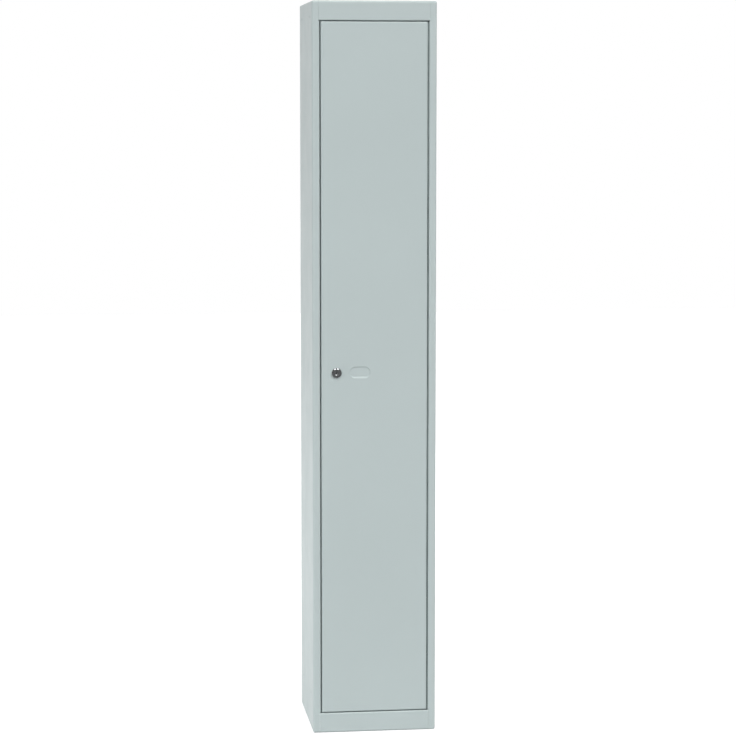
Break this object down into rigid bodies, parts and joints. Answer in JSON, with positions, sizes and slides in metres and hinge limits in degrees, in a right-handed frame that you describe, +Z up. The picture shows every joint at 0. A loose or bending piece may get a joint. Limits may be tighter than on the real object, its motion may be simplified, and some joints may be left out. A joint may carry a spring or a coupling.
{
  "type": "clothing locker",
  "caption": "Tall narrow steel clothing locker: folded carcass, flush hinged door with key lock and label recess, hat shelf and coat hooks inside.",
  "frame": {"origin": "on the floor, under the middle of the carcass", "axes": "+X to the right seen from the front, +Y to the back, +Z up; the door faces -Y"},
  "size_m": [0.305, 0.31, 1.802],
  "materials": {
    "grey_paint": "fine-textured pale grey powder coat on folded steel sheet",
    "zinc_plate": "bright zinc-plated steel",
    "hinge_steel": "dull dark plated steel",
    "lock_chrome": "polished black chrome on a zinc casting",
    "black_rubber": "matt black rubber"
  },
  "bodies": {
    "cabinet": {"left_side_panel": "grey_paint", "right_side_panel": "grey_paint", "roof_panel": "grey_paint", "plinth": "grey_paint", "base_tray": "grey_paint", "back_panel": "grey_paint", "hat_shelf": "grey_paint", "shelf_runner_left": "grey_paint", "shelf_runner_right": "grey_paint", "left_coat_hook": "zinc_plate", "right_coat_hook": "zinc_plate", "double_coat_hook": "zinc_plate", "hook_rivets": "zinc_plate", "door_buffers": "black_rubber", "hinge_frame_leaf": "hinge_steel", "hinge_pin": "hinge_steel"},
    "door": {"door_skin": "grey_paint", "door_stiffener": "grey_paint", "hinge_door_leaf": "hinge_steel", "lock_housing": "lock_chrome", "lock_nut": "zinc_plate"},
    "lock": {"lock_plug": "lock_chrome", "lock_cam": "zinc_plate", "cam_washer": "zinc_plate", "cam_screw": "zinc_plate"}
  },
  "joints": [
    {"name": "door_hinge", "type": "hinge", "parent": "cabinet", "child": "door", "pos_m": [0.13215, -0.1505, 0.902], "axis": [0, 0, 1], "range_deg": [0, 110]},
    {"name": "lock_turn", "type": "hinge", "parent": "door", "child": "lock", "pos_m": [-0.0934, -0.1525, 0.9], "axis": [0, 1, 0], "range_deg": [0, 90]}
  ]
}
